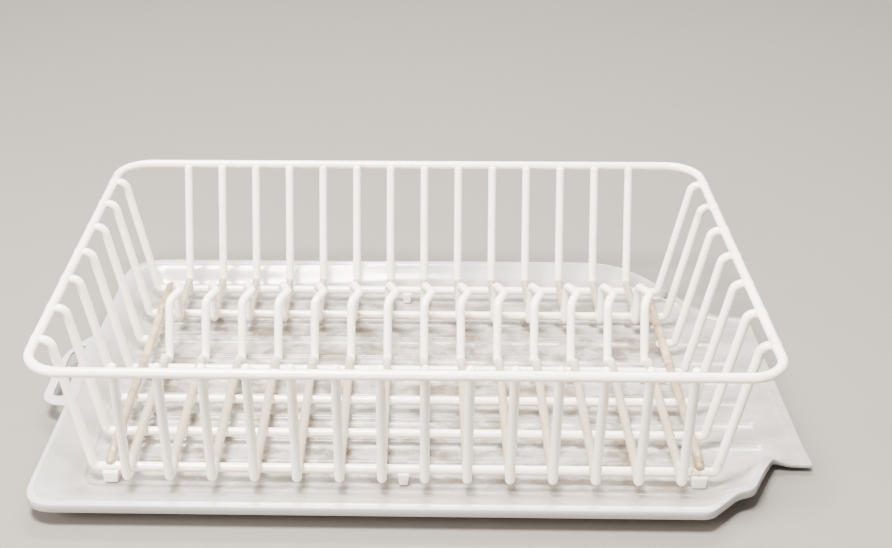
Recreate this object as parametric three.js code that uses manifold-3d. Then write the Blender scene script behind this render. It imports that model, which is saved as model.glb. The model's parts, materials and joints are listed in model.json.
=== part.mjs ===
// Dish drying rack: a coated steel wire basket that lifts off a moulded drip tray.
//
// Millimetres, +Z up. The origin is on the surface that the tray stands on, below the middle of the
// whole object. +X runs along the rack towards the tray's spout, and +Y points to the back.
// Every wire is its own solid. Wires that are welded together keep a small gap.

import * as THREE from 'three';
import { mergeVertices } from 'three/addons/utils/BufferGeometryUtils.js';
import Module from 'manifold-3d';

// ---------------------------------------------------------------- driving dimensions

const GAP = 0.3;                    // clearance between pieces that touch
const WIRE_RADIUS = 2.9;            // coated wire of the basket
const RIM_RADIUS = 3;               // coated wire of the rim ring

const CROSS_WIRE_COUNT = 14;
const CROSS_WIRE_PITCH = 25.4;
const LONG_WIRE_COUNT = 7;          // places of the long wires, numbered from the back
const LONG_WIRE_PITCH = 37.8;
const SHORT_WIRE_NUMBER = 3;        // this place has only a short wire at each end

const RACK_CENTRE_X = -7;           // the tray's spout is longer than its hang tab
const RACK_CENTRE_Y = 1.5;          // the tray reaches a little further at the front
const RIM_HALF_LENGTH = 216;        // centreline of the rim ring
const RIM_HALF_DEPTH = 148.5;
const RIM_CORNER_RADIUS = 23;
const BASE_HALF_LENGTH = 188.5;     // where the end walls meet the base
const BASE_BACK_Y = 117.5;          // where the back wall meets the base
const BASE_FRONT_Y = -129;          // where the front wall meets the base, a little lower
const BASE_FRONT_DROP = 4.1;
const FRONT_SLOPE_Y = -116;         // where the base starts to slope down to the front wall
const WALL_TOP_X = 207.6;           // where the end walls turn out to the rim
const END_BAR_X = 178.5;
const END_BAR_OVERHANG = 2.5;       // past the middle of the front and back long wires

const FLOOR_THICKNESS = 2;
const FOOT_BOTTOM = FLOOR_THICKNESS + GAP;
const LONG_WIRE_Z = FOOT_BOTTOM + 9.5;
const CROSS_WIRE_Z = LONG_WIRE_Z + 2 * WIRE_RADIUS + GAP;
const RIM_Z = 100;
const UPRIGHT_TOP_Z = RIM_Z + 2.3;

const HUMP_BACK_Y = 64;             // upright back leg of the hump that holds a plate
const HUMP_BACK_Z = 43.3;
const HUMP_FRONT_Y = 33.5;          // top of the front leg, which leans back as it rises
const HUMP_FRONT_Z = 45.8;
const HUMP_TOP_Y = 46;              // the top bar bends sideways between the legs
const HUMP_TOP_Z = 47;
const HUMP_CRANK = 5.5;
const FRONT_DIP_Y = 18.3;           // sharp corners of the dips on each side of the hump
const FRONT_DIP_Z = 6.5;
const BACK_DIP_Z = -1.6;
const FRONT_SHOULDER_Y = 2.5;       // where the wire leaves the base level for a dip
const BACK_SHOULDER_Y = 71;

const BASE_BEND_RADIUS = 4;
const HUMP_BEND_RADIUS = 6;
const FRONT_DIP_RADIUS = 4.5;
const BACK_DIP_RADIUS = 3.3;
const SHOULDER_RADIUS = 3;
const HOOK_BEND_RADIUS = 5.5;
const BEND_STEPS = 3;
const WIDEST_BEND_STEP = 0.5;       // radians
const WIRE_SIDES = 8;

const FOOT_X = 178.3;
const FOOT_DEPTH = 8.4;
const CORNER_FOOT = { top: 9.6, bottom: 7.9 };
const CENTRE_FOOT = { top: 7, bottom: 4.6 };
const FOOT_TOP = LONG_WIRE_Z - 1;

const TRAY_HEIGHT = 16;
const TRAY_WALL = 2;
const TRAY_LIP_WIDTH = 5;
const TRAY_HEM_SHARE = 0.68;        // height of the hem's lower edge, as a share of the wall's height
const TRAY_HALF_DEPTH = 155.5;
const TRAY_LEFT = -228;
const SPOUT_RIGHT = 245;
const SPOUT_FRONT_Y = -94;
const TAB_LEFT = -245;

// Corners of the lip's outer edge and of the flat floor's edge, anticlockwise from the front left.
// Each is x, y and how much of its two sides is rounded off. The two lists go round together.
const LIP_CORNERS = [
  [TRAY_LEFT - 2, -TRAY_HALF_DEPTH, 20],
  [171, -TRAY_HALF_DEPTH, 5],
  [190, -136.5, 4],
  [200, -133, 5],
  [221, -93, 4],
  [SPOUT_RIGHT, SPOUT_FRONT_Y, 2],
  [SPOUT_RIGHT, 92, 4],
  [220, 96, 10],
  [162, TRAY_HALF_DEPTH, 40],
  [TRAY_LEFT + 4, TRAY_HALF_DEPTH, 30],
];
const FLOOR_CORNERS = [
  [-203, -119.5, 14],
  [173, -119.5, 6],
  [186, -111, 4],
  [194, -105, 4],
  [213, -86, 5],
  [233, -89, 2],
  [239, 88, 4],
  [216, 90, 10],
  [180, 134.5, 18],
  [-203, 134.5, 14],
];
const OUTLINE_DIVISIONS = 5;

// The walls sink to the spout between these places along x, and end as low sills.
const FRONT_WALL_FADE = { start: 208, end: 232, sill: 0.2 };
const BACK_WALL_FADE = { start: 140, end: 222, sill: 0.03 };

const TAB_CORNERS = [
  [TRAY_LEFT + 6, -52, 4],
  [TRAY_LEFT + 6, 46, 4],
  [TAB_LEFT, 20, 26],
  [TAB_LEFT, -48, 12],
];
const SLOT_CORNERS = [
  [TRAY_LEFT - 3, -40, 3],
  [TRAY_LEFT - 3, 26, 3],
  [TAB_LEFT + 6, 14, 4],
  [TAB_LEFT + 6, -40, 4],
];

const RIDGE_COUNT = 8;
const RIDGE_PITCH = 25.2;
const RIDGE_CENTRE_Y = -4;
const RIDGE_HEIGHT = 1.6;
const RIDGE_FOOT_HALF_WIDTH = 2;
const RIDGE_TOP_HALF_WIDTH = 0.9;
const RIDGE_SUNK = 0.5;             // how deep a ridge's foot reaches into the floor
const RIDGE_LEFT = -192;
const RIDGE_RIGHT = 220;
const OUTER_RIDGE_RIGHT = 190;      // the first and last ridges stop before the slanted corners

// ---------------------------------------------------------------- materials

function coatedWire() {
  return new THREE.MeshStandardMaterial({ color: 0xe9e3da, roughness: 0.32, metalness: 0 });
}

function stainedWire() {
  return new THREE.MeshStandardMaterial({ color: 0xcdb596, roughness: 0.4, metalness: 0 });
}

function footPlastic() {
  return new THREE.MeshStandardMaterial({ color: 0xe4dfd6, roughness: 0.45, metalness: 0 });
}

function trayPlastic() {
  return new THREE.MeshStandardMaterial({ color: 0xdcdbdb, roughness: 0.28, metalness: 0 });
}

// ---------------------------------------------------------------- solids, joined and cut

const wasm = await Module();
wasm.setup();

function toSolid(geometry) {
  const bare = geometry.clone();
  bare.deleteAttribute('normal');
  bare.deleteAttribute('uv');
  bare.clearGroups();
  const merged = mergeVertices(bare);
  const vertProperties = new Float32Array(merged.attributes.position.array);
  const triVerts = new Uint32Array(merged.index.array);
  return new wasm.Manifold(new wasm.Mesh({ numProp: 3, vertProperties, triVerts }));
}

function toGeometry(solid) {
  const mesh = solid.getMesh();
  const geometry = new THREE.BufferGeometry();
  geometry.setAttribute('position', new THREE.BufferAttribute(mesh.vertProperties, 3));
  geometry.setIndex(new THREE.BufferAttribute(mesh.triVerts, 1));
  geometry.computeVertexNormals();
  return geometry;
}

// ---------------------------------------------------------------- wires

// A bent wire's centreline: straight runs joined by round bends. Sections lie only at the
// two ends and along the bends, so straight runs cost no triangles.
class BentWire extends THREE.Curve {
  constructor(corners, closed = false) {
    super();
    this.stations = closed ? closedStations(corners) : openStations(corners);
  }

  station(u) {
    return this.stations[Math.round(u * (this.stations.length - 1))];
  }

  getPointAt(u) {
    return this.station(u).point.clone();
  }

  getTangentAt(u) {
    return this.station(u).tangent.clone();
  }
}

// The stations of the round bend at one corner between its neighbours.
function bendStations(before, corner, after) {
  const inward = corner.point.clone().sub(before.point).normalize();
  const outward = after.point.clone().sub(corner.point).normalize();
  const turn = inward.angleTo(outward);
  const reach = corner.radius * Math.tan(turn / 2);
  const axis = inward.clone().cross(outward).normalize();
  const start = corner.point.clone().addScaledVector(inward, -reach);
  const toCentre = axis.clone().cross(inward).multiplyScalar(corner.radius);
  const centre = start.clone().add(toCentre);
  const stations = [];
  const steps = Math.max(BEND_STEPS, Math.ceil(turn / WIDEST_BEND_STEP));
  for (let step = 0; step <= steps; step += 1) {
    const angle = turn * step / steps;
    const point = start.clone().sub(centre).applyAxisAngle(axis, angle).add(centre);
    const tangent = inward.clone().applyAxisAngle(axis, angle);
    stations.push({ point, tangent });
  }
  return stations;
}

function openStations(corners) {
  const last = corners.length - 1;
  const startTangent = corners[1].point.clone().sub(corners[0].point).normalize();
  const endTangent = corners[last].point.clone().sub(corners[last - 1].point).normalize();
  const stations = [{ point: corners[0].point, tangent: startTangent }];
  for (let i = 1; i < last; i += 1) {
    stations.push(...bendStations(corners[i - 1], corners[i], corners[i + 1]));
  }
  stations.push({ point: corners[last].point, tangent: endTangent });
  return stations;
}

function closedStations(corners) {
  const count = corners.length;
  const stations = [];
  for (let i = 0; i < count; i += 1) {
    const before = corners[(i + count - 1) % count];
    const after = corners[(i + 1) % count];
    stations.push(...bendStations(before, corners[i], after));
  }
  stations.push(stations[0]);
  return stations;
}

function corner(x, y, z, radius = 0) {
  return { point: new THREE.Vector3(x, y, z), radius };
}

function sweepWire(centreline, radius) {
  const section = new THREE.Shape().absarc(0, 0, radius, 0, 2 * Math.PI);
  return new THREE.ExtrudeGeometry(section, {
    steps: centreline.stations.length - 1,
    curveSegments: WIRE_SIDES / 2,
    extrudePath: centreline,
  });
}

// A closed ring has no ends, so the sweep's two end caps are left out.
function sweepRing(centreline, radius) {
  const swept = sweepWire(centreline, radius);
  const sides = swept.groups[1];
  const positions = swept.attributes.position.array.slice(sides.start * 3, (sides.start + sides.count) * 3);
  const ring = new THREE.BufferGeometry();
  ring.setAttribute('position', new THREE.BufferAttribute(positions, 3));
  const merged = mergeVertices(ring, 0.001);
  merged.computeVertexNormals();
  return merged;
}

// ---------------------------------------------------------------- basket pieces, about the rack's centre

function longWireY(number) {
  const middle = (LONG_WIRE_COUNT + 1) / 2;
  return (middle - number) * LONG_WIRE_PITCH;
}

function crossWireX(number) {
  const middle = (CROSS_WIRE_COUNT + 1) / 2;
  return (number - middle) * CROSS_WIRE_PITCH;
}

function rimRing() {
  const x = RIM_HALF_LENGTH;
  const y = RIM_HALF_DEPTH;
  const corners = [
    corner(x, y, RIM_Z, RIM_CORNER_RADIUS),
    corner(-x, y, RIM_Z, RIM_CORNER_RADIUS),
    corner(-x, -y, RIM_Z, RIM_CORNER_RADIUS),
    corner(x, -y, RIM_Z, RIM_CORNER_RADIUS),
  ];
  return sweepRing(new BentWire(corners, true), RIM_RADIUS);
}

// Back wall, base, plate hump, base again, front wall: one wire, front to back.
function crossWire() {
  const wallTopY = RIM_HALF_DEPTH - RIM_RADIUS - WIRE_RADIUS - GAP;
  const corners = [
    corner(0, wallTopY, UPRIGHT_TOP_Z),
    corner(0, BASE_BACK_Y, CROSS_WIRE_Z, BASE_BEND_RADIUS),
    corner(0, BACK_SHOULDER_Y, CROSS_WIRE_Z, SHOULDER_RADIUS),
    corner(0, HUMP_BACK_Y, BACK_DIP_Z, BACK_DIP_RADIUS),
    corner(0, HUMP_BACK_Y, HUMP_BACK_Z, HUMP_BEND_RADIUS),
    corner(HUMP_CRANK, HUMP_TOP_Y, HUMP_TOP_Z, HUMP_BEND_RADIUS),
    corner(0, HUMP_FRONT_Y, HUMP_FRONT_Z, HUMP_BEND_RADIUS),
    corner(0, FRONT_DIP_Y, FRONT_DIP_Z, FRONT_DIP_RADIUS),
    corner(0, FRONT_SHOULDER_Y, CROSS_WIRE_Z, SHOULDER_RADIUS),
    corner(0, FRONT_SLOPE_Y, CROSS_WIRE_Z, SHOULDER_RADIUS),
    corner(0, BASE_FRONT_Y, CROSS_WIRE_Z - BASE_FRONT_DROP, BASE_BEND_RADIUS),
    corner(0, -wallTopY, UPRIGHT_TOP_Z),
  ];
  return sweepWire(new BentWire(corners), WIRE_RADIUS);
}

// The corners of an end wall: a hook that butts the rim, the leaning wall, the turn to the base.
function endWallCorners(side) {
  const hookEnd = RIM_HALF_LENGTH - RIM_RADIUS - GAP;
  return [
    corner(side * hookEnd, 0, RIM_Z),
    corner(side * WALL_TOP_X, 0, RIM_Z, HOOK_BEND_RADIUS),
    corner(side * BASE_HALF_LENGTH, 0, LONG_WIRE_Z, BASE_BEND_RADIUS),
  ];
}

function longWire() {
  const corners = [...endWallCorners(-1), ...endWallCorners(1).reverse()];
  return sweepWire(new BentWire(corners), WIRE_RADIUS);
}

// A short wire ends just past the end bar that lies on it.
function sideWire(side) {
  const innerEnd = END_BAR_X - WIRE_RADIUS;
  const corners = [...endWallCorners(side), corner(side * innerEnd, 0, LONG_WIRE_Z)];
  return sweepWire(new BentWire(corners), WIRE_RADIUS);
}

function endBar() {
  const halfLength = longWireY(1) + END_BAR_OVERHANG;
  const corners = [corner(0, -halfLength, 0), corner(0, halfLength, 0)];
  return sweepWire(new BentWire(corners), WIRE_RADIUS);
}

// A foot is a tapered block with a saddle that grips the long wire above it.
function foot({ top, bottom }) {
  const height = FOOT_TOP - FOOT_BOTTOM;
  const outline = new THREE.Shape();
  outline.moveTo(-bottom / 2, 0);
  outline.lineTo(bottom / 2, 0);
  outline.lineTo(top / 2, height);
  outline.lineTo(-top / 2, height);
  const block = new THREE.ExtrudeGeometry(outline, { depth: FOOT_DEPTH, bevelEnabled: false });
  block.translate(0, 0, -FOOT_DEPTH / 2);
  block.rotateX(Math.PI / 2);
  block.translate(0, 0, FOOT_BOTTOM);
  const grip = WIRE_RADIUS + GAP;
  const saddle = new THREE.CylinderGeometry(grip, grip, 2 * top, 2 * WIRE_SIDES);
  saddle.rotateZ(Math.PI / 2);
  saddle.translate(0, 0, LONG_WIRE_Z);
  return toGeometry(toSolid(block).subtract(toSolid(saddle)));
}

// ---------------------------------------------------------------- drip tray

// A closed outline whose corners are rounded off by the length given at each of them.
function roundedOutline(corners) {
  const outline = new THREE.Shape();
  corners.forEach(([x, y, cut], index) => {
    const before = corners[(index + corners.length - 1) % corners.length];
    const after = corners[(index + 1) % corners.length];
    const here = new THREE.Vector2(x, y);
    const back = new THREE.Vector2(before[0], before[1]).sub(here).setLength(cut).add(here);
    const ahead = new THREE.Vector2(after[0], after[1]).sub(here).setLength(cut).add(here);
    if (index === 0) {
      outline.moveTo(back.x, back.y);
    } else {
      outline.lineTo(back.x, back.y);
    }
    outline.quadraticCurveTo(x, y, ahead.x, ahead.y);
  });
  return outline;
}

// How high the wall stands at a point of the lip, as a share of its full height.
function wallShare(lipPoint) {
  const { start, end, sill } = lipPoint.y > SPOUT_FRONT_Y + TRAY_WALL ? BACK_WALL_FADE : FRONT_WALL_FADE;
  return 1 - (1 - sill) * THREE.MathUtils.smoothstep(lipPoint.x, start, end);
}

// The tray's section where floor and lip lie run apart, from the middle of its underside out to
// the lip's hem and back over the top. out is 0 at the floor's edge and 1 at the lip's edge, and
// -1 stands for the floor's middle.
function traySection(run) {
  const skin = TRAY_WALL / run;
  const lipStart = Math.max(skin, 1 - TRAY_LIP_WIDTH / run);
  return [
    { out: -1, rise: 0, base: 0 },
    { out: skin, rise: 0, base: 0 },
    { out: lipStart + skin, rise: 1, base: 0 },
    { out: 1 - skin, rise: 1, base: 0 },
    { out: 1 - skin, rise: TRAY_HEM_SHARE, base: 0 },
    { out: 1, rise: TRAY_HEM_SHARE, base: 0 },
    { out: 1, rise: 1, base: FLOOR_THICKNESS },
    { out: lipStart, rise: 1, base: FLOOR_THICKNESS },
    { out: 0, rise: 0, base: FLOOR_THICKNESS },
    { out: -1, rise: 0, base: FLOOR_THICKNESS },
  ];
}

// The section is carried round the tray: a lathe's mesh whose points are moved to the outlines.
function trayPan() {
  const lip = roundedOutline(LIP_CORNERS).getPoints(OUTLINE_DIVISIONS);
  const floor = roundedOutline(FLOOR_CORNERS).getPoints(OUTLINE_DIVISIONS);
  const profile = traySection(1).map(({ out }, index) => new THREE.Vector2(out + 1, index));
  profile[0].x = 0;
  profile[profile.length - 1].x = 0;
  const geometry = new THREE.LatheGeometry(profile, lip.length);
  const position = geometry.attributes.position;
  const fullRise = TRAY_HEIGHT - FLOOR_THICKNESS;
  for (let turn = 0; turn <= lip.length; turn += 1) {
    const lipPoint = lip[turn % lip.length];
    const floorPoint = floor[turn % lip.length];
    const section = traySection(floorPoint.distanceTo(lipPoint));
    section.forEach(({ out, rise, base }, index) => {
      const place = out < 0 ? new THREE.Vector2() : floorPoint.clone().lerp(lipPoint, out);
      const z = base + fullRise * rise * wallShare(lipPoint);
      position.setXYZ(turn * section.length + index, place.x, place.y, z);
    });
  }
  return geometry;
}

function ridge(right) {
  const outline = new THREE.Shape();
  outline.moveTo(-RIDGE_FOOT_HALF_WIDTH, -RIDGE_SUNK);
  outline.lineTo(RIDGE_FOOT_HALF_WIDTH, -RIDGE_SUNK);
  outline.lineTo(RIDGE_TOP_HALF_WIDTH, RIDGE_HEIGHT);
  outline.lineTo(-RIDGE_TOP_HALF_WIDTH, RIDGE_HEIGHT);
  const geometry = new THREE.ExtrudeGeometry(outline, { depth: right - RIDGE_LEFT, bevelEnabled: false });
  geometry.rotateX(Math.PI / 2);
  geometry.rotateZ(Math.PI / 2);
  geometry.translate(RIDGE_LEFT, 0, FLOOR_THICKNESS);
  return geometry;
}

// The hang tab on the tray's left edge, with its slot.
function hangTab() {
  const tab = roundedOutline(TAB_CORNERS);
  tab.holes.push(roundedOutline(SLOT_CORNERS));
  const geometry = new THREE.ExtrudeGeometry(tab, {
    depth: TRAY_WALL,
    bevelEnabled: false,
    curveSegments: OUTLINE_DIVISIONS,
  });
  geometry.translate(0, 0, TRAY_HEIGHT - TRAY_WALL);
  return geometry;
}

function dripTray() {
  let tray = toSolid(trayPan()).add(toSolid(hangTab()));
  const firstRidge = RIDGE_CENTRE_Y - RIDGE_PITCH * (RIDGE_COUNT - 1) / 2;
  for (let index = 0; index < RIDGE_COUNT; index += 1) {
    const isOuter = index === 0 || index === RIDGE_COUNT - 1;
    const geometry = ridge(isOuter ? OUTER_RIDGE_RIGHT : RIDGE_RIGHT);
    geometry.translate(0, firstRidge + index * RIDGE_PITCH, 0);
    tray = tray.add(toSolid(geometry));
  }
  return toGeometry(tray);
}

// ---------------------------------------------------------------- assembly

const dishRack = new THREE.Group();
const basket = new THREE.Group();
basket.position.set(RACK_CENTRE_X, RACK_CENTRE_Y, 0);
dishRack.add(basket);

function addPiece(parent, name, geometry, material, position = [0, 0, 0]) {
  const mesh = new THREE.Mesh(geometry, material);
  mesh.name = name;
  mesh.position.set(...position);
  parent.add(mesh);
}

addPiece(dishRack, 'drip_tray', dripTray(), trayPlastic());
addPiece(basket, 'rim_wire', rimRing(), coatedWire());

for (let number = 1; number <= CROSS_WIRE_COUNT; number += 1) {
  const name = `cross_wire_${String(number).padStart(2, '0')}`;
  addPiece(basket, name, crossWire(), coatedWire(), [crossWireX(number), 0, 0]);
}

for (let number = 1; number <= LONG_WIRE_COUNT; number += 1) {
  const place = [0, longWireY(number), 0];
  if (number === SHORT_WIRE_NUMBER) {
    addPiece(basket, `side_wire_${number}_left`, sideWire(-1), coatedWire(), place);
    addPiece(basket, `side_wire_${number}_right`, sideWire(1), coatedWire(), place);
  } else {
    addPiece(basket, `long_wire_${number}`, longWire(), coatedWire(), place);
  }
}

for (const [side, word] of [[-1, 'left'], [1, 'right']]) {
  addPiece(basket, `end_bar_${word}`, endBar(), stainedWire(), [side * END_BAR_X, 0, CROSS_WIRE_Z]);
}

for (const [number, word] of [[1, 'back'], [LONG_WIRE_COUNT, 'front']]) {
  const y = longWireY(number);
  addPiece(basket, `foot_${word}_left`, foot(CORNER_FOOT), footPlastic(), [-FOOT_X, y, 0]);
  addPiece(basket, `foot_${word}_centre`, foot(CENTRE_FOOT), footPlastic(), [0, y, 0]);
  addPiece(basket, `foot_${word}_right`, foot(CORNER_FOOT), footPlastic(), [FOOT_X, y, 0]);
}

export default dishRack;
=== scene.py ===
"""A coated wire dish rack on its drip tray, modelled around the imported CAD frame."""

import json
import math

import bmesh
import bpy
import numpy as np
from mathutils import Matrix, Vector
from mathutils.geometry import delaunay_2d_cdt

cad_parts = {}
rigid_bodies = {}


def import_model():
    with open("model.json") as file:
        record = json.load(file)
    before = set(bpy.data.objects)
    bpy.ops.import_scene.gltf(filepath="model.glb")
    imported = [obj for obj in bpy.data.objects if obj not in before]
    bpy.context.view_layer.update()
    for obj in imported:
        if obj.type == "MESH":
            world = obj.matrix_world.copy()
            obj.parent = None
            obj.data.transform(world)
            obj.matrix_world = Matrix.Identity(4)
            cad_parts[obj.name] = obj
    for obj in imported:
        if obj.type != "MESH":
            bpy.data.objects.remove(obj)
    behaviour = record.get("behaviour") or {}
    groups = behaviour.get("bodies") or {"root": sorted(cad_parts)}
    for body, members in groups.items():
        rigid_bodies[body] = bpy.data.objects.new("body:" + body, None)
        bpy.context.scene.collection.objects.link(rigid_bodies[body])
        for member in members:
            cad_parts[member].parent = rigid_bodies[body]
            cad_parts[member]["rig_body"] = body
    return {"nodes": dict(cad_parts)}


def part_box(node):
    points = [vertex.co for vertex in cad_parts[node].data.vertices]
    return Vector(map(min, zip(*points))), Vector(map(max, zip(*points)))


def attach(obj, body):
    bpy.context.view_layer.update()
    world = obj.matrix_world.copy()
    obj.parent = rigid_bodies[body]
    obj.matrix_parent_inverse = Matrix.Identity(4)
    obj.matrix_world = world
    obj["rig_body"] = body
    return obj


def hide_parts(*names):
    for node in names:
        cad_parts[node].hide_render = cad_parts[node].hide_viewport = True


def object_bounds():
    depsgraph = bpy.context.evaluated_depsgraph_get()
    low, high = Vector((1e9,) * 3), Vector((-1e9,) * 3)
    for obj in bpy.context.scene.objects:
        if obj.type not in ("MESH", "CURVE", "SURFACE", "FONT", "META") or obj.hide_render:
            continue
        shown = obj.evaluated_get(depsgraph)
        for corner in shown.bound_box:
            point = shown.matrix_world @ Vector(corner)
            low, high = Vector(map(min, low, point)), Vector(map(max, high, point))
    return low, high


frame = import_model()
CAD_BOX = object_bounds()

MM = 0.001
TAU = 2 * math.pi

# ---------------------------------------------------------------- sizes, in metres

WIRE_SIDES = 24
STATION_STEP = 2.4 * MM      # along a wire
STATION_TURN = 0.16          # radians from station to station in a bend
SAME_RING = 3e-6             # corners of one CAD ring lie this close to a plane
RING_REACH = 7 * MM          # and this close to each other
RIM_CORNER_RADIUS = 23 * MM
RIM_CORNER_STEPS = 4
COATING_REACH = 2.8 * MM     # how far the coating runs out where two wires meet
COATING_FADE = (9 * MM, 13 * MM)  # a joint's fillet dies away between these distances
COATING_WAVE = 0.05 * MM     # uneven thickness of the coating
WAVE_LENGTHS = (55 * MM, 23 * MM, 11 * MM, 6 * MM)
RIM_COATING_REACH = 1.3 * MM
CONTACT_SLACK = 0.9 * MM     # wires nearer than this are welded together
BAR_END_DROOP = 3.0 * MM     # the end bars are pressed onto the last wires
BAR_DROOP_LENGTH = 14 * MM
HOOK_OVERLAP = 1.5 * MM      # how far a hook's rounded end runs into the rim
DOME_RINGS = 6               # of a wire's rounded end

CROSS_WIRES = [f"cross_wire_{number:02d}" for number in range(1, 15)]
LONG_WIRES = [f"long_wire_{number}" for number in (1, 2, 4, 5, 6, 7)]
SIDE_WIRES = ["side_wire_3_left", "side_wire_3_right"]
END_BARS = ["end_bar_left", "end_bar_right"]
FOOT_PLACES = ("left", "centre", "right")
FEET = [f"foot_{row}_{place}" for row in ("front", "back") for place in FOOT_PLACES]

# Where water stands and stains the coating: the second row of joints and the right end of the
# front row. The level runs in the base are given a darker colour.
BASE_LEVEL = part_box("end_bar_left")[1].z
STAINED_ROW_Y = (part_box("foot_back_left")[0].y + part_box("side_wire_3_left")[1].y) / 2
FRONT_ROW_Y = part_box("foot_front_left")[1].y
STAINED_END_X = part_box("end_bar_right")[0].x - 8 * MM
HUMP_MIDDLE_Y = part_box("side_wire_3_left")[0].y
HUMP_REACH = 34 * MM
HUMP_FADE = 3 * MM
BASE_FADE = (3 * MM, 7 * MM)
LEVEL_WINDOW = 13            # stations over which a base run fades out
ROW_REACH = 9 * MM
STAIN_REACH = 11 * MM
HEAVY_STAIN = (0.55, 1.0)
LIGHT_STAIN = (0.05, 0.4)

# ---------------------------------------------------------------- mesh helpers


def add_piece(name, vertices, faces, material, node):
    """A smooth mesh that rides on the node's body and stands for the node."""
    mesh = bpy.data.meshes.new(name)
    mesh.from_pydata([tuple(v) for v in vertices], [], faces)
    mesh.validate()
    mesh.polygons.foreach_set("use_smooth", [True] * len(mesh.polygons))
    mesh.materials.append(material)
    piece = bpy.data.objects.new(name, mesh)
    bpy.context.scene.collection.objects.link(piece)
    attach(piece, frame["nodes"][node]["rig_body"])
    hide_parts(node)
    return piece


def add_values(piece, name, values):
    """Stores one number per vertex for the material to read."""
    attribute = piece.data.attributes.new(name, "FLOAT", "POINT")
    attribute.data.foreach_set("value", np.asarray(values, np.float32))


def smoothstep(value, start, end):
    share = np.clip((value - start) / (end - start), 0, 1)
    return share * share * (3 - 2 * share)


# ---------------------------------------------------------------- wires


def cad_centreline(node, towards):
    """The middle and direction of each ring of a swept CAD wire, starting at the end that lies
    furthest towards a direction."""
    towards = Vector(towards)
    bm = bmesh.new()
    bm.from_mesh(frame["nodes"][node].data)
    bmesh.ops.remove_doubles(bm, verts=bm.verts, dist=0.001 * MM)
    bm.normal_update()
    tip = max(bm.verts, key=lambda v: v.co.dot(towards))
    cap = max(tip.link_faces, key=lambda f: f.normal.dot(towards))
    near_tip = [v for v in bm.verts if (v.co - tip.co).length < RING_REACH]
    ring = {v for v in near_tip if abs((v.co - tip.co).dot(cap.normal)) < SAME_RING}
    seen = set()
    middles, normals, radius = [], [], 0
    while ring:
        places = np.array([v.co for v in ring])
        middle = places.mean(0)
        middles.append(middle)
        normals.append(np.linalg.svd(places - middle)[2][2])
        radius = np.linalg.norm(places - middle, axis=1).max()
        seen |= ring
        ring = {edge.other_vert(v) for v in ring for edge in v.link_edges} - seen
    bm.free()
    middles, normals = np.array(middles), np.array(normals)
    ahead = np.gradient(middles, axis=0)
    normals *= np.sign((normals * ahead).sum(1))[:, None]
    return middles, normals, radius


def arc_resample(middles, normals, closed=False):
    """Fills in a centreline so that its bends are true arcs and its stations are evenly spaced."""
    points, directions = [], []
    count = len(middles) if closed else len(middles) - 1
    for index in range(count):
        a, b = middles[index], middles[(index + 1) % len(middles)]
        ta, tb = normals[index], normals[(index + 1) % len(middles)]
        chord = np.linalg.norm(b - a)
        turn = math.acos(np.clip(ta @ tb, -1, 1))
        pull = chord / math.cos(turn / 4) ** 2
        steps = max(math.ceil(chord / STATION_STEP), math.ceil(turn / STATION_TURN))
        for t in np.arange(steps) / steps:
            points.append(
                (2 * t**3 - 3 * t**2 + 1) * a + (t**3 - 2 * t**2 + t) * pull * ta
                + (3 * t**2 - 2 * t**3) * b + (t**3 - t**2) * pull * tb
            )
            directions.append(
                (6 * t**2 - 6 * t) * (a - b)
                + (3 * t**2 - 4 * t + 1) * pull * ta + (3 * t**2 - 2 * t) * pull * tb
            )
    if not closed:
        points.append(middles[-1])
        directions.append(normals[-1])
    directions = np.array(directions)
    return np.array(points), directions / np.linalg.norm(directions, axis=1)[:, None]


def rim_centreline():
    """The rim is a rounded rectangle through the middle of its CAD box."""
    low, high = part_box("rim_wire")
    radius = (high.z - low.z) / 2
    corner = RIM_CORNER_RADIUS
    half_x, half_y = (high.x - low.x) / 2 - radius, (high.y - low.y) / 2 - radius
    middle = (low + high) / 2
    points, directions = [], []
    for quarter in range(4):
        centre_x = (half_x - corner) * (1 if quarter in (0, 3) else -1)
        centre_y = (half_y - corner) * (1 if quarter in (0, 1) else -1)
        for step in range(RIM_CORNER_STEPS + 1):
            angle = (quarter + step / RIM_CORNER_STEPS) * TAU / 4
            points.append((
                middle.x + centre_x + corner * math.cos(angle),
                middle.y + centre_y + corner * math.sin(angle),
                middle.z,
            ))
            directions.append((-math.sin(angle), math.cos(angle), 0))
    points, directions = arc_resample(np.array(points), np.array(directions), closed=True)
    return points, directions, radius


def side_frames(directions):
    """Two side directions for each station, carried along without twist."""
    slanted = (0.3, 0.5, 0.8)
    first = np.cross(directions[0], slanted)
    first /= np.linalg.norm(first)
    sides = []
    for direction in directions:
        first = first - direction * (first @ direction)
        first = first / np.linalg.norm(first)
        sides.append(first)
    sides = np.array(sides)
    return sides, np.cross(directions, sides)


class Wire:
    """A wire of the basket: its centreline, and where it touches the other wires.

    hooks lists the ends (0 or -1) that run a little into the rim."""

    def __init__(self, node, points, directions, radius, closed=False, hooks=()):
        self.node = node
        self.closed = closed
        self.radius = radius
        self.points, self.directions = points, directions
        for end in hooks:
            outward = directions[end] * (1 if end else -1)
            self.points[end] += outward * HOOK_OVERLAP
        self.contacts = []

    def meet(self, other):
        """Notes every place where this wire comes close to another one."""
        reach = self.radius + other.radius + CONTACT_SLACK
        low, high = self.points.min(0) - reach, self.points.max(0) + reach
        if (other.points.max(0) < low).any() or (other.points.min(0) > high).any():
            return
        gaps = np.linalg.norm(self.points[:, None] - other.points[None], axis=2)
        near = gaps.min(1) < reach
        start = None
        for index, is_near in enumerate(list(near) + [False]):
            if is_near and start is None:
                start = index
            elif not is_near and start is not None:
                best = start + gaps[start:index].min(1).argmin()
                match = gaps[best].argmin()
                at_rim = "rim_wire" in (self.node, other.node)
                spread = RIM_COATING_REACH if at_rim else COATING_REACH
                contact = (other.points[match], other.directions[match], other.radius, spread)
                self.contacts.append(contact)
                start = None


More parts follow.
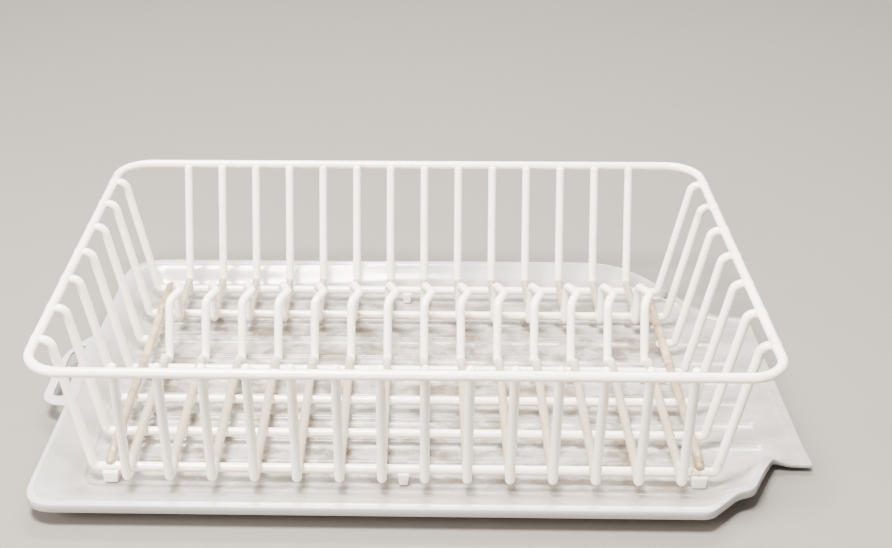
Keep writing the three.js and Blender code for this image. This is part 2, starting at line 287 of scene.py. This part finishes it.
def read_wires():
    """Every wire by its node, with its contacts noted."""
    wires = {}
    points, directions, radius = rim_centreline()
    wires["rim_wire"] = Wire("rim_wire", points, directions, radius, closed=True)
    for node in CROSS_WIRES:
        middles, normals, radius = cad_centreline(node, (0, 0.2, 1))
        wires[node] = Wire(node, *arc_resample(middles, normals), radius)
    for node in LONG_WIRES:
        middles, normals, radius = cad_centreline(node, (-1, 0, 0))
        wires[node] = Wire(node, *arc_resample(middles, normals), radius, hooks=(0, -1))
    for node in SIDE_WIRES:
        outward = -1 if node.endswith("left") else 1
        middles, normals, radius = cad_centreline(node, (outward, 0, 0))
        wires[node] = Wire(node, *arc_resample(middles, normals), radius, hooks=(0,))
    for node in END_BARS:
        middles, normals, radius = cad_centreline(node, (0, 1, 0))
        points, directions = arc_resample(middles, normals)
        reach = np.abs(points[:, 1]).max()
        near_end = smoothstep(np.abs(points[:, 1]), reach - BAR_DROOP_LENGTH, reach)
        points[:, 2] -= BAR_END_DROOP * near_end
        wires[node] = Wire(node, points, directions, radius)
    for wire in wires.values():
        for other in wires.values():
            if other is not wire:
                wire.meet(other)
    return wires


def end_rings(wire):
    """Stations and radius shares of a wire, with a dome drawn in at each free end."""
    points, directions = wire.points, wire.directions
    shares = np.ones(len(points))
    if wire.closed:
        return points, directions, shares
    dome = np.sin(np.linspace(0, 1, DOME_RINGS + 1)[1:] * TAU / 4)
    dome_share = 0.98
    for end in (0, -1):
        lengths = np.linalg.norm(points - points[end], axis=1)
        keep = lengths > wire.radius * dome_share
        tip, outward = points[end], directions[end] * (1 if end else -1)
        radii = dome if end == 0 else dome[::-1]
        depth = 1 - np.sqrt(1 - radii**2)
        extra = tip - outward * (wire.radius * depth)[:, None]
        sides = np.repeat(directions[end][None], len(extra), 0)
        if end == 0:
            points = np.vstack([extra, points[keep]])
            directions = np.vstack([sides, directions[keep]])
            shares = np.concatenate([radii, shares[keep]])
        else:
            points = np.vstack([points[keep], extra])
            directions = np.vstack([directions[keep], sides])
            shares = np.concatenate([shares[keep], radii])
    return points, directions, shares


def wave(rng, distance, angle):
    """A smooth uneven value along and round a wire, about -1 to 1."""
    value = 0
    for length in WAVE_LENGTHS:
        turn = rng.integers(0, 3)
        phase = rng.uniform(0, TAU, 2)
        spiral = turn * np.sin(angle + phase[1])
        value = value + np.sin(distance * TAU / length + phase[0] + spiral)
    return value / len(WAVE_LENGTHS)


def joint_stain(place, rng):
    """How much standing water has stained the joint at a place."""
    if abs(place[1] - STAINED_ROW_Y) < ROW_REACH:
        return rng.uniform(*HEAVY_STAIN)
    if abs(place[1] - FRONT_ROW_Y) < ROW_REACH and place[0] > STAINED_END_X:
        return 1.0
    return rng.uniform(*LIGHT_STAIN)


def base_level(points, directions):
    """1 at the stations of a wire's level runs in the base, 0 on its humps and walls."""
    level_run = 1 - smoothstep(np.abs(directions[:, 2]), 0.15, 0.5)
    from_hump = np.abs(points[:, 1] - HUMP_MIDDLE_Y)
    level = level_run * smoothstep(from_hump, HUMP_REACH - HUMP_FADE, HUMP_REACH + HUMP_FADE)
    fade_start, fade_end = BASE_FADE
    low = 1 - smoothstep(points[:, 2], BASE_LEVEL + fade_start, BASE_LEVEL + fade_end)
    window = np.hanning(LEVEL_WINDOW)
    padded = np.pad(level * low, LEVEL_WINDOW // 2, "edge")
    return np.convolve(padded, window / window.sum(), "valid")


def coated_mesh(wire, rng):
    """The skin of one coated wire, swollen where the coating bridges to its neighbours.

    Returns its vertices and faces, and for each vertex how stained its joint is and whether it
    is on a base run."""
    points, directions, shares = end_rings(wire)
    sides, ups = side_frames(directions)
    count = len(points)
    angles = np.arange(WIRE_SIDES) * TAU / WIRE_SIDES
    if wire.closed:
        twist = math.atan2(sides[-1] @ ups[0], sides[-1] @ sides[0])
        shares_round = np.arange(count) / count
        angles = angles[None] - (twist * shares_round)[:, None]
    else:
        angles = np.repeat(angles[None], count, 0)
    outward = np.cos(angles)[..., None] * sides[:, None] + np.sin(angles)[..., None] * ups[:, None]
    distance = np.concatenate([[0], np.cumsum(np.linalg.norm(np.diff(points, axis=0), axis=1))])
    radius = wire.radius * np.ones((count, WIRE_SIDES)) * shares[:, None]
    skin = points[:, None] + outward * radius[..., None]
    swell = COATING_WAVE * wave(rng, distance[:, None], angles) * shares[:, None]
    stain = np.zeros((count, WIRE_SIDES))
    for place, along, other_radius, spread in wire.contacts:
        offset = skin - place
        across = offset - (offset @ along)[..., None] * along
        gap = np.clip(np.linalg.norm(across, axis=2) - other_radius, 0, spread)
        local = np.linalg.norm(offset, axis=2)
        fillet = (spread - gap) ** 2 / (4 * spread)
        fillet *= 1 - smoothstep(local, *COATING_FADE)
        swell = np.maximum(swell, fillet * shares[:, None])
        strength = joint_stain(place, rng)
        stain = np.maximum(stain, strength * np.exp(-((local / STAIN_REACH) ** 2)))
    skin = points[:, None] + outward * (radius + swell)[..., None]
    vertices = skin.reshape(-1, 3)
    faces = []
    rows = count if wire.closed else count - 1
    for row in range(rows):
        here, there = row * WIRE_SIDES, (row + 1) % count * WIRE_SIDES
        for k in range(WIRE_SIDES):
            after = (k + 1) % WIRE_SIDES
            faces.append((here + k, here + after, there + after, there + k))
    if not wire.closed:
        faces.append(tuple(range(WIRE_SIDES))[::-1])
        faces.append(tuple(range((count - 1) * WIRE_SIDES, count * WIRE_SIDES)))
    level = base_level(points, directions)
    return vertices, faces, stain.reshape(-1), np.repeat(level, WIRE_SIDES)


def build_wires(materials):
    """One piece for each wire."""
    rng = np.random.default_rng(11)
    wires = read_wires()
    for node, wire in wires.items():
        stained = node in END_BARS
        slot = "stained_wire" if stained else "coated_wire"
        vertices, faces, stain, level = coated_mesh(wire, rng)
        piece = add_piece(f"coated_{node}", vertices, faces, materials[slot], node)
        add_values(piece, "joint", stain)
        add_values(piece, "base", level * (1.0 if stained or node in CROSS_WIRES else 0.0))


# ---------------------------------------------------------------- feet


FOOT_EDGE_CUT = 1.0 * MM     # chamfer along the foot's long edges
FOOT_EDGE_ROUND = 0.55 * MM
SADDLE_SHARE = 0.64          # the saddle's radius as a share of half the foot's depth
SADDLE_RISE = 1.0 * MM       # the saddle's centre lies this far above the foot's top
SADDLE_STEPS = 8


def foot_mesh(node):
    """A tapered block whose top is cut to a saddle for the wire, as a prism along X."""
    low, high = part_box(node)
    cad = np.array([v.co for v in frame["nodes"][node].data.vertices])
    bottom = np.ptp(cad[cad[:, 2] < low.z + 0.2 * MM][:, 0])
    top = high.x - low.x
    middle = (low + high) / 2
    half_depth = (high.y - low.y) / 2
    saddle = half_depth * SADDLE_SHARE
    round_cut = FOOT_EDGE_CUT
    profile = [
        (-half_depth + round_cut, low.z), (half_depth - round_cut, low.z),
        (half_depth, low.z + round_cut), (half_depth, high.z - round_cut),
        (half_depth - round_cut, high.z),
    ]
    wire_z = high.z + SADDLE_RISE
    dip = math.asin(-SADDLE_RISE / saddle)
    for step in range(SADDLE_STEPS + 1):
        angle = dip - step * (math.pi + 2 * dip) / SADDLE_STEPS
        profile.append((saddle * math.cos(angle), wire_z + saddle * math.sin(angle)))
    profile += [
        (-half_depth + round_cut, high.z), (-half_depth, high.z - round_cut),
        (-half_depth, low.z + round_cut),
    ]
    vertices = []
    for side in (-1, 1):
        for y, z in profile:
            share = (z - low.z) / (high.z - low.z)
            half_width = (bottom + (top - bottom) * share) / 2
            vertices.append((middle.x + side * half_width, middle.y + y, z))
    count = len(profile)
    faces = [tuple(range(count))[::-1], tuple(range(count, 2 * count))]
    for k in range(count):
        after = (k + 1) % count
        faces.append((k, after, count + after, count + k))
    return vertices, faces


def build_feet(material):
    """One piece for each foot, with softened edges."""
    for node in FEET:
        vertices, faces = foot_mesh(node)
        piece = add_piece(f"moulded_{node}", vertices, faces, material, node)
        bevel = piece.modifiers.new("soft_edges", "BEVEL")
        bevel.width = FOOT_EDGE_ROUND
        bevel.segments = 3
        bevel.limit_method = "ANGLE"
        bevel.angle_limit = math.radians(35)


# ---------------------------------------------------------------- drip tray

TRAY_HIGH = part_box("drip_tray")[1]
SHEET = 1.7 * MM             # thickness of the moulding
FLOOR_Z = 2.0 * MM           # top of the floor
LIP_WIDTH = 5 * MM
HEM_DROP = 4.6 * MM
BEAD_HEIGHT = 1.4 * MM       # a low bead where the floor meets the wall
OUTLINE_STEP = 4 * MM
ROUNDING_STEPS = 12          # of one rounded corner of an outline
BACK_WALL_FADE = (140 * MM, 222 * MM)   # the walls sink to the spout between these places
FRONT_WALL_FADE = (208 * MM, 232 * MM)
SPOUT_SILL = 0.05            # the walls' height at the spout, as a share
SPOUT_SILL_FRONT = 0.17      # added at the spout's front edge
SPOUT_FRONT_FADE = (-92 * MM, -70 * MM)
NARROW_WALL = 22 * MM        # a wall narrower than this is an S in section
WIDE_WALL = 34 * MM          # and a wider one is hollow
WELD_TRAY = 0.02 * MM
DRIED_FADE = 9 * MM          # the dried film fades out this far each side of the basket's edge
RIDGE_COUNT = 8
RIDGE_PITCH = 25.2 * MM
RIDGE_MIDDLE_Y = -4 * MM
RIDGE_HEIGHT = 1.9 * MM
RIDGE_HALF_WIDTH = 1.9 * MM
RIDGE_LEFT = -194 * MM
RIDGE_RIGHT = 222 * MM
OUTER_RIDGE_RIGHT = 190 * MM
RIDGE_END_FADE = 6 * MM
RIDGE_SHARES = (-1, -0.62, -0.3, 0, 0.3, 0.62, 1)  # rows of the floor's grid across a ridge
FLOOR_INSETS = (6 * MM, 14 * MM)  # rows beside the front and the back edge
FLOOR_COLUMN_STEP = 5 * MM
FLOOR_MARGIN = 2.2 * MM      # the floor's grid stays this far from its edge
TAB_STATIONS = 120

# Corners of the lip's outer edge and of the floor's edge, in mm: x, y and how much is rounded off.
LIP_CORNERS = [
    (-230, -155.5, 20), (171, -155.5, 5), (190, -136.5, 4), (200, -133, 5), (221, -93, 4),
    (245, -94, 2), (245, 92, 4), (220, 96, 10), (162, 155.5, 40), (-224, 155.5, 30),
]
FLOOR_CORNERS = [
    (-203, -119.5, 14), (173, -119.5, 6), (186, -111, 4), (194, -105, 4), (213, -86, 5),
    (233, -89, 2), (239, 88, 4), (216, 90, 10), (180, 134.5, 18), (-203, 134.5, 14),
]
TAB_CORNERS = [(-222, -52, 4), (-222, 46, 4), (-245, 20, 26), (-245, -48, 12)]
SLOT_CORNERS = [(-231, -40, 3), (-231, 26, 3), (-239, 14, 4), (-239, -40, 4)]


def rounded_outline(corners):
    """Points of a closed outline whose corners are rounded off by the length given at each."""
    points = []
    corners = np.array(corners, float) * MM
    for index, (x, y, cut) in enumerate(corners):
        here = np.array((x, y))
        before = np.array(corners[index - 1][:2]) - here
        after = np.array(corners[(index + 1) % len(corners)][:2]) - here
        start = here + before / np.linalg.norm(before) * cut
        end = here + after / np.linalg.norm(after) * cut
        for t in np.linspace(0, 1, ROUNDING_STEPS + 1):
            points.append((1 - t) ** 2 * start + 2 * t * (1 - t) * here + t * t * end)
    return np.array(points)


def evenly(points, count):
    """Points spaced evenly round a closed outline."""
    loop = np.vstack([points, points[:1]])
    lengths = np.concatenate([[0], np.cumsum(np.linalg.norm(np.diff(loop, axis=0), axis=1))])
    wanted = np.arange(count) / count * lengths[-1]
    return np.stack([np.interp(wanted, lengths, loop[:, k]) for k in (0, 1)], 1)


def wall_share(x, y):
    """How high the wall stands there, as a share of its full height. It sinks to the spout."""
    start, end = BACK_WALL_FADE if y > 0 else FRONT_WALL_FADE
    sill = SPOUT_SILL + SPOUT_SILL_FRONT * (1 - float(smoothstep(y, *SPOUT_FRONT_FADE)))
    return 1 - (1 - sill) * float(smoothstep(x, start, end))


def tray_section(run, share):
    """The moulding's section at one place: (0 at the floor's edge to 1 at the lip's, height)."""
    rise = (TRAY_HIGH.z - FLOOR_Z) * share
    skin = SHEET / run
    lip_start = max(2 * skin, 1 - LIP_WIDTH / run)
    hollow = float(smoothstep(run, NARROW_WALL, WIDE_WALL))

    def wall(t):
        return FLOOR_Z + rise * (hollow * t**1.5 + (1 - hollow) * smoothstep(t, -0.05, 1.08))

    crown = FLOOR_Z + rise
    edge = 1.0 * MM / run
    bead = BEAD_HEIGHT * share
    top = [(0, FLOOR_Z), (0.5 * edge, FLOOR_Z + 0.7 * bead), (1.1 * edge, FLOOR_Z + bead)]
    top += [(1.7 * edge, FLOOR_Z + 0.75 * bead)]
    for t in np.linspace(0.13, 0.95, 14):
        top.append((t * lip_start, max(wall(t), FLOOR_Z + 0.4 * bead)))
    top += [
        (lip_start - 0.3 * edge, crown - 0.55 * MM * share), (lip_start, crown - 0.1 * MM * share),
        (lip_start + 0.7 * edge, crown), (lip_start + 1.6 * edge, crown - 0.25 * MM * share),
        (1 - 1.2 * edge, crown - 0.3 * MM * share), (1 - 0.4 * edge, crown - 0.35 * MM * share),
        (1 - 0.1 * edge, crown - 0.6 * MM * share), (1, crown - 1.2 * MM),
    ]
    hem = crown - 1.3 * MM - HEM_DROP * share
    under = [(1 + 0.2 * edge, hem + 0.3 * MM), (1 - edge / 3, hem), (1 - skin, hem + 0.1 * MM)]
    under.append((1 - skin, max(crown - SHEET, hem + 0.15 * MM)))
    for t in np.linspace(0.97, 0, 8):
        under.append((t * lip_start + 0.8 * skin * t, wall(t) - SHEET - 0.2 * MM * (1 - t)))
    return top, under


def tray_walls():
    """The ring of wall, lip and hem round the floor, as rows of points from section to section."""
    lip, floor = rounded_outline(LIP_CORNERS), rounded_outline(FLOOR_CORNERS)
    lengths = np.linalg.norm(np.diff(np.vstack([lip, lip[:1]]), axis=0), axis=1)
    stations_lip, stations_floor = [], []
    for index, length in enumerate(lengths):
        after = (index + 1) % len(lip)
        steps = max(1, math.ceil(length / OUTLINE_STEP))
        for t in np.arange(steps) / steps:
            stations_lip.append(lip[index] * (1 - t) + lip[after] * t)
            stations_floor.append(floor[index] * (1 - t) + floor[after] * t)
    rows = []
    for outer, inner in zip(stations_lip, stations_floor):
        top, under = tray_section(np.linalg.norm(outer - inner), wall_share(*outer))
        row = []
        for out, z in top + under:
            place = inner + (outer - inner) * out
            row.append((place[0], place[1], z))
        rows.append(row)
    return np.array(rows), np.array(stations_floor)


def ridge_height(x, y):
    """Height of the moulded ridges above the floor at a place."""
    first = RIDGE_MIDDLE_Y - RIDGE_PITCH * (RIDGE_COUNT - 1) / 2
    height = np.zeros_like(x)
    for index in range(RIDGE_COUNT):
        across = np.clip(np.abs(y - first - index * RIDGE_PITCH) / RIDGE_HALF_WIDTH, 0, 1)
        right_end = OUTER_RIDGE_RIGHT if index in (0, RIDGE_COUNT - 1) else RIDGE_RIGHT
        from_left = smoothstep(x, RIDGE_LEFT, RIDGE_LEFT + RIDGE_END_FADE)
        to_right = 1 - smoothstep(x, right_end - RIDGE_END_FADE, right_end)
        height += RIDGE_HEIGHT * np.cos(across * TAU / 4) ** 2 * (from_left * to_right)
    return height


def floor_sheet(edge, heights):
    """A triangulated sheet inside a closed edge, on a grid fine enough for the ridges."""
    low, high = edge.min(0), edge.max(0)
    first = RIDGE_MIDDLE_Y - RIDGE_PITCH * (RIDGE_COUNT - 1) / 2
    rows = []
    for index in range(RIDGE_COUNT):
        for share in RIDGE_SHARES:
            rows.append(first + index * RIDGE_PITCH + share * RIDGE_HALF_WIDTH)
        rows.append(first + (index + 0.5) * RIDGE_PITCH)
    rows += [low[1] + inset for inset in FLOOR_INSETS]
    rows += [high[1] - inset for inset in FLOOR_INSETS]
    columns = np.arange(low[0] + 3 * MM, high[0], FLOOR_COLUMN_STEP)
    loop = [Vector(p) for p in edge]
    inside = [Vector((x, y)) for y in rows for x in columns if deep_inside(edge, x, y)]
    count = len(loop)
    edges = [(k, (k + 1) % count) for k in range(count)]
    points, _, faces, _, _, _ = delaunay_2d_cdt(loop + inside, edges, [], 1, 1e-7)
    flat = np.array([(p.x, p.y) for p in points])
    z = FLOOR_Z + (ridge_height(flat[:, 0], flat[:, 1]) if heights else -SHEET)
    return np.column_stack([flat, np.broadcast_to(z, len(flat))]), [tuple(face) for face in faces]


def deep_inside(edge, x, y):
    """Whether a place lies inside a closed edge, and not too near it."""
    ahead = np.roll(edge, -1, axis=0)
    crossing = (edge[:, 1] > y) != (ahead[:, 1] > y)
    span = np.where(crossing, ahead[:, 1] - edge[:, 1], 1)
    at = edge[:, 0] + (y - edge[:, 1]) / span * (ahead[:, 0] - edge[:, 0])
    inside = np.count_nonzero(crossing & (x < at)) % 2 == 1
    return inside and np.linalg.norm(edge - (x, y), axis=1).min() > FLOOR_MARGIN


def hang_tab():
    """The loop at the left edge: an outer and an inner outline joined by a rounded band."""
    outer = evenly(rounded_outline(TAB_CORNERS), TAB_STATIONS)
    inner = evenly(rounded_outline(SLOT_CORNERS), TAB_STATIONS)
    top = TRAY_HIGH.z - 0.3 * MM
    rows = []
    for a, b in zip(outer, inner):
        band = np.linalg.norm(b - a)
        soft = min(0.3, 0.8 * MM / band)
        section = [
            (0, top - 0.6 * MM), (soft * 0.3, top - 0.2 * MM), (soft, top), (0.5, top + 0.15 * MM),
            (1 - soft, top), (1 - soft * 0.3, top - 0.2 * MM), (1, top - 0.6 * MM),
            (1, top - SHEET), (0, top - SHEET),
        ]
        rows.append([(*(a + (b - a) * out), z) for out, z in section])
    return np.array(rows)


def ring_faces(count, width, start, close_section):
    """Quads between the rows of a closed ring of sections."""
    faces = []
    for row in range(count):
        here, there = start + row * width, start + (row + 1) % count * width
        for k in range(width if close_section else width - 1):
            after = (k + 1) % width
            faces.append((here + k, there + k, there + after, here + after))
    return faces


def under_basket(places):
    """1 below the basket, where the draining water has dried, and 0 well outside it."""
    low_x, high_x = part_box("end_bar_left")[0].x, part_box("end_bar_right")[1].x
    low_y, high_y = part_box("foot_front_left")[0].y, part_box("foot_back_left")[1].y
    outside_x = np.maximum(low_x - places[:, 0], places[:, 0] - high_x)
    outside_y = np.maximum(low_y - places[:, 1], places[:, 1] - high_y)
    return 1 - smoothstep(np.maximum(outside_x, outside_y), -DRIED_FADE, DRIED_FADE)


def build_tray(material):
    """The whole moulding as one piece: walls, floor, underside and hang tab."""
    walls, floor_edge = tray_walls()
    count, width = walls.shape[:2]
    vertices = [walls.reshape(-1, 3)]
    faces = ring_faces(count, width, 0, False)
    total = count * width
    top, top_faces = floor_sheet(floor_edge, True)
    vertices.append(top)
    faces += [tuple(total + k for k in face) for face in top_faces]
    total += len(top)
    bottom, bottom_faces = floor_sheet(floor_edge, False)
    bottom[:, 2] = walls[0, -1, 2]
    vertices.append(bottom)
    faces += [tuple(total + k for k in face[::-1]) for face in bottom_faces]
    total += len(bottom)
    tab = hang_tab()
    vertices.append(tab.reshape(-1, 3))
    faces += ring_faces(*tab.shape[:2], total, True)
    vertices = np.vstack(vertices)
    piece = add_piece("moulded_drip_tray", vertices, faces, material, "drip_tray")
    bm = bmesh.new()
    bm.from_mesh(piece.data)
    bmesh.ops.remove_doubles(bm, verts=bm.verts, dist=WELD_TRAY)
    bmesh.ops.recalc_face_normals(bm, faces=bm.faces)
    bm.to_mesh(piece.data)
    bm.free()
    places = np.array([v.co for v in piece.data.vertices])
    add_values(piece, "floor", 1 - smoothstep(places[:, 2], 3 * MM, 9 * MM))
    add_values(piece, "under", under_basket(places))


# ---------------------------------------------------------------- materials


class Nodes:
    """A short way to write a material's nodes."""

    def __init__(self, name):
        self.material = bpy.data.materials.new(name)
        self.material.use_nodes = True
        self.tree = self.material.node_tree
        self.shader = self.tree.nodes["Principled BSDF"]
        self.place = self.tree.nodes.new("ShaderNodeTexCoord").outputs["Object"]

    def add(self, kind, inputs=(), **settings):
        node = self.tree.nodes.new(kind)
        for key, value in settings.items():
            setattr(node, key, value)
        for key, value in dict(inputs).items():
            if isinstance(value, bpy.types.NodeSocket):
                self.tree.links.new(value, node.inputs[key])
            else:
                node.inputs[key].default_value = value
        return node

    def stretched(self, scale, turn=0.0):
        """The object's coordinates, scaled along each axis and turned about Z."""
        inputs = {"Vector": self.place, "Scale": scale, "Rotation": (0, 0, turn)}
        return self.add("ShaderNodeMapping", inputs).outputs["Vector"]

    def noise(self, scale, detail=3, roughness=0.5, place=None):
        inputs = {"Vector": place or self.place, "Scale": scale}
        inputs |= {"Detail": detail, "Roughness": roughness}
        return self.add("ShaderNodeTexNoise", inputs).outputs["Fac"]

    def ramp(self, value, low, high, start=0.0, end=1.0):
        inputs = {"Value": value, "From Min": low, "From Max": high}
        inputs |= {"To Min": start, "To Max": end}
        node = self.add("ShaderNodeMapRange", inputs, interpolation_type="SMOOTHSTEP")
        return node.outputs["Result"]

    def math(self, operation, first, second=0.0):
        return self.add("ShaderNodeMath", {0: first, 1: second}, operation=operation).outputs[0]

    def value(self, name):
        return self.add("ShaderNodeAttribute", attribute_name=name).outputs["Fac"]

    def mix(self, share, first, second):
        node = self.add("ShaderNodeMix", data_type="RGBA")
        sockets = (node.inputs[0], node.inputs[6], node.inputs[7])
        for socket, value in zip(sockets, (share, first, second)):
            if isinstance(value, bpy.types.NodeSocket):
                self.tree.links.new(value, socket)
            else:
                socket.default_value = value
        return node.outputs[2]

    def bump(self, height, distance, strength=1.0, below=None):
        inputs = {"Height": height, "Distance": distance, "Strength": strength}
        if below:
            inputs["Normal"] = below
        return self.add("ShaderNodeBump", inputs).outputs["Normal"]

    def finish(self, colour, roughness, normal):
        self.tree.links.new(colour, self.shader.inputs["Base Color"])
        self.tree.links.new(roughness, self.shader.inputs["Roughness"])
        self.tree.links.new(normal, self.shader.inputs["Normal"])
        return self.material


WHITE = (0.95, 0.885, 0.79, 1)
YELLOWING = (0.985, 0.96, 0.90, 1)      # aged coating, as a share of the clean colour
BEIGE = (0.50, 0.405, 0.27, 1)          # the end bars
DULL = (0.30, 0.245, 0.17, 1)           # the base runs
TAN = (0.18, 0.11, 0.045, 1)
SPECK = (0.22, 0.12, 0.055, 1)


def coated_wire_material(name, clean, stain, stain_amount):
    """Glossy dipped coating, yellowed, stained at the joints and a little low down, and darker on
    the level runs in the base.
    """
    n = Nodes(name)
    joint, base = n.value("joint"), n.value("base")
    broad = n.noise(38, 4, 0.6)
    patches = n.noise(130, 5, 0.65)
    fine = n.noise(900, 3, 0.6)
    damp = n.math("ADD", n.math("MULTIPLY", joint, 1.3), n.math("MULTIPLY", base, 0.12))
    damp = n.math("ADD", damp, stain_amount)
    mask = n.math("MULTIPLY", damp, n.ramp(patches, 0.36, 0.72))
    mask = n.math("MULTIPLY", mask, n.ramp(broad, 0.3, 0.65, 0.35, 1.0))
    speckle = n.math("MULTIPLY", n.ramp(fine, 0.70, 0.78), n.math("MULTIPLY", damp, 0.5))
    yellowed = tuple(channel * share for channel, share in zip(clean, YELLOWING))
    aged = n.mix(n.ramp(broad, 0.35, 0.7), clean, yellowed)
    # the level runs in the base are mixed towards the darker DULL colour
    dull = n.mix(n.math("MULTIPLY", base, 0.9), aged, DULL)
    colour = n.mix(mask, dull, stain)
    colour = n.mix(speckle, colour, SPECK)
    dulled = n.math("MULTIPLY", mask, 0.3)
    roughness = n.math("ADD", n.ramp(patches, 0.3, 0.75, 0.17, 0.3), dulled)
    ripples = n.bump(n.noise(260, 2, 0.5), 0.12 * MM, 0.5)
    normal = n.bump(fine, 0.03 * MM, 0.35, ripples)
    n.shader.inputs["IOR"].default_value = 1.52
    n.shader.inputs["Coat Weight"].default_value = 0.35
    n.shader.inputs["Coat Roughness"].default_value = 0.16
    return n.finish(colour, roughness, normal)


FOOT_WHITE = (0.86, 0.83, 0.78, 1)
FOOT_YELLOWED = (0.80, 0.74, 0.64, 1)
FOOT_SCUFF = (0.45, 0.33, 0.2, 1)


def foot_material():
    """Small satin mouldings, a little yellowed and scuffed."""
    n = Nodes("foot_plastic")
    patches = n.noise(180, 4, 0.6)
    fine = n.noise(1400, 2, 0.5)
    colour = n.mix(n.ramp(patches, 0.4, 0.75), FOOT_WHITE, FOOT_YELLOWED)
    colour = n.mix(n.math("MULTIPLY", n.ramp(fine, 0.66, 0.76), 0.35), colour, FOOT_SCUFF)
    roughness = n.ramp(patches, 0.3, 0.75, 0.36, 0.52)
    return n.finish(colour, roughness, n.bump(fine, 0.04 * MM, 0.4))


MOULDING = ((0.465, 0.445, 0.43, 1), (0.43, 0.405, 0.385, 1))
DARKER_FLOOR = (0.33, 0.295, 0.26, 1)
DRIED_FILM = (0.125, 0.10, 0.072, 1)
TIDE_MARK = (0.20, 0.16, 0.11, 1)


def tray_material():
    """Thin glossy moulding with a film of dried water on its floor, mostly under the basket."""
    n = Nodes("tray_plastic")
    floor, under = n.value("floor"), n.value("under")
    dried = n.math("MULTIPLY", floor, n.math("ADD", n.math("MULTIPLY", under, 0.82), 0.18))
    long_way = n.stretched((0.8, 1.0, 1.0))
    clouds = n.noise(16, 5, 0.6)
    tide = n.noise(52, 6, 0.65, long_way)
    fine = n.noise(650, 4, 0.6)
    scratches = n.noise(420, 2, 0.5, n.stretched((0.05, 1.0, 1.0), 0.35))
    film = n.math("MULTIPLY", dried, n.ramp(tide, 0.42, 0.62))
    from_shore = n.math("ABSOLUTE", n.math("SUBTRACT", tide, 0.52))
    rings = n.math("MULTIPLY", n.ramp(from_shore, 0.0, 0.02, 1, 0), dried)
    colour = n.mix(n.ramp(clouds, 0.35, 0.7), *MOULDING)
    # the floor, below the walls, is given a darker colour overall
    colour = n.mix(n.math("MULTIPLY", floor, 0.6), colour, DARKER_FLOOR)
    colour = n.mix(n.math("MULTIPLY", film, 0.95), colour, DRIED_FILM)
    colour = n.mix(n.math("MULTIPLY", rings, 0.3), colour, TIDE_MARK)
    filmed = n.math("MULTIPLY", film, 0.18)
    roughness = n.math("ADD", n.ramp(clouds, 0.3, 0.7, 0.12, 0.2), filmed)
    roughness = n.math("ADD", roughness, n.ramp(scratches, 0.62, 0.7, 0, 0.12))
    warp = n.bump(n.noise(9, 2, 0.4), 1.2 * MM, 0.35)
    normal = n.bump(fine, 0.04 * MM, 0.25, warp)
    return n.finish(colour, roughness, normal)


# ---------------------------------------------------------------- stage


STAGE_HALF_WIDTH = 6
STAGE_DROP = 0.2 * MM        # the stage lies just below the tray
STAGE_TONES = ((0.15, 0.135, 0.118, 1), (0.165, 0.15, 0.132, 1))


def stage_material():
    n = Nodes("pale_floor")
    tone = n.mix(n.noise(3, 3), *STAGE_TONES)
    roughness = n.ramp(n.noise(30), 0, 1, 0.55, 0.65)
    return n.finish(tone, roughness, n.bump(n.noise(300), 0.1 * MM, 0.1))


def plain_floor():
    """The surface that the tray stands on."""
    mesh = bpy.data.meshes.new("stage_floor")
    bm = bmesh.new()
    bmesh.ops.create_grid(bm, x_segments=1, y_segments=1, size=STAGE_HALF_WIDTH)
    bm.to_mesh(mesh)
    bm.free()
    mesh.materials.append(stage_material())
    floor = bpy.data.objects.new("stage_floor", mesh)
    floor.location.z = CAD_BOX[0].z - STAGE_DROP
    bpy.context.scene.collection.objects.link(floor)


LIGHT_TARGET = Vector((0, 0, 0.05))


def soft_light(name, place, size, power, colour):
    """A rectangular lamp aimed at the basket."""
    data = bpy.data.lights.new(name, "AREA")
    data.shape = "RECTANGLE"
    data.size, data.size_y = size
    data.energy = power
    data.color = colour
    lamp = bpy.data.objects.new(name, data)
    lamp.location = place
    lamp.rotation_euler = (LIGHT_TARGET - Vector(place)).to_track_quat("-Z", "Y").to_euler()
    bpy.context.scene.collection.objects.link(lamp)


def light_scene():
    """Even surroundings and three soft lamps."""
    world = bpy.data.worlds.new("studio")
    world.use_nodes = True
    background = world.node_tree.nodes["Background"]
    background.inputs["Color"].default_value = (1.0, 0.97, 0.93, 1)
    background.inputs["Strength"].default_value = 0.95
    bpy.context.scene.world = world
    soft_light("overhead", (-0.25, -0.45, 1.55), (0.5, 0.4), 155, (1, 0.965, 0.92))
    soft_light("left_fill", (-1.4, -0.9, 0.8), (0.6, 0.6), 60, (1, 0.97, 0.94))
    soft_light("back_strip", (0.1, 0.95, 1.45), (1.3, 0.22), 62, (1, 0.97, 0.92))


CAMERA_PLACE = (0.00164, -0.81666, 0.51735)
CAMERA_DOWN = 0.3997         # radians below the horizon
CAMERA_TURN = 0.0282
CAMERA_ROLL = -0.0063
CAMERA_LENS = 56.23          # mm, on Blender's 36 mm sensor
CAMERA_SHIFT = (0.0706, -0.1345)  # as shares of the picture's width


def add_camera():
    """A camera at the photograph's angle."""
    data = bpy.data.cameras.new("camera")
    data.lens = CAMERA_LENS
    data.shift_x, data.shift_y = CAMERA_SHIFT
    camera = bpy.data.objects.new("camera", data)
    turn = Matrix.Rotation(CAMERA_TURN, 4, "Z")
    tilt = Matrix.Rotation(math.pi / 2 - CAMERA_DOWN, 4, "X")
    roll = Matrix.Rotation(CAMERA_ROLL, 4, "Z")
    camera.matrix_world = Matrix.Translation(CAMERA_PLACE) @ turn @ tilt @ roll
    bpy.context.scene.collection.objects.link(camera)
    bpy.context.scene.camera = camera


# ---------------------------------------------------------------- build

finishes = {
    "coated_wire": coated_wire_material("coated_wire", WHITE, TAN, 0.02),
    "stained_wire": coated_wire_material("stained_wire", BEIGE, TAN, 0.85),
    "foot_plastic": foot_material(),
}
build_wires(finishes)
build_feet(finishes["foot_plastic"])
build_tray(tray_material())
plain_floor()
light_scene()
add_camera()
